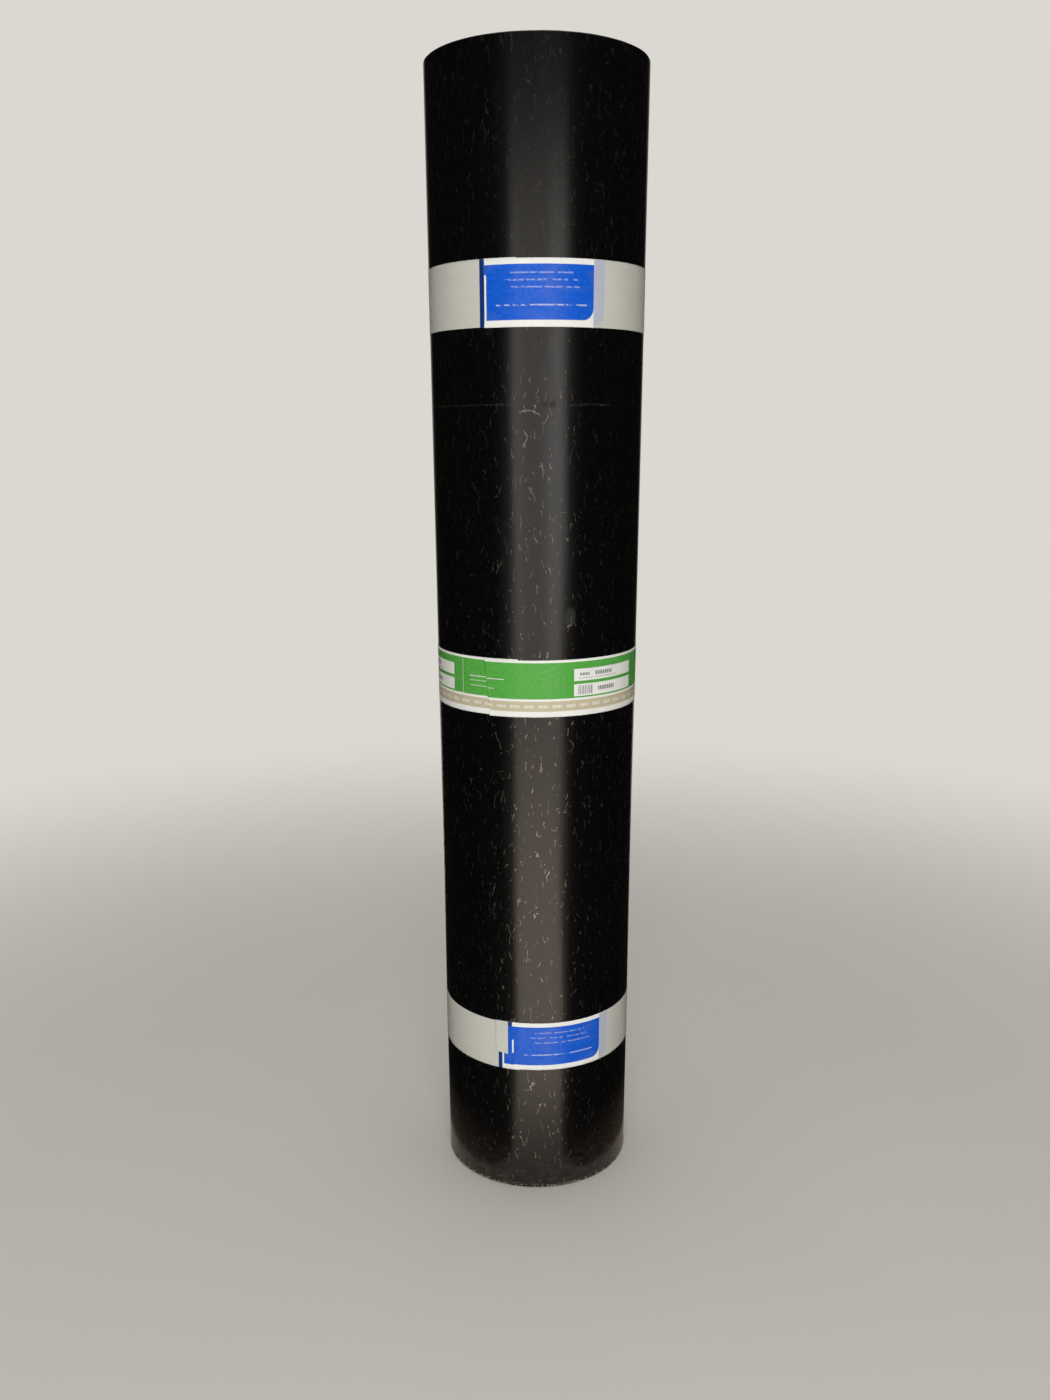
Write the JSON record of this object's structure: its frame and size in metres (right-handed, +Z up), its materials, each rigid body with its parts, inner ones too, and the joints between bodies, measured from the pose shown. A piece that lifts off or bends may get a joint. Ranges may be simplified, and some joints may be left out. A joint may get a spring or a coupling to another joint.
{
  "type": "roll of roofing felt",
  "caption": "Roll of roofing felt standing on end: a black bitumen sheet wound on itself round an open bore and held shut by printed bands.",
  "frame": {"origin": "on the bore's axis, in the plane of the lower end that stands on the floor", "axes": "+Z up along the bore; -Y to the front, the side that the picture shows"},
  "size_m": [0.1847, 0.1826, 1],
  "materials": {
    "felt": "satin",
    "blue_band": "gloss",
    "green_band": "gloss"
  },
  "bodies": {
    "root": {"felt_roll": "felt", "upper_band": "blue_band", "middle_band": "green_band", "lower_band": "blue_band"}
  },
  "joints": []
}
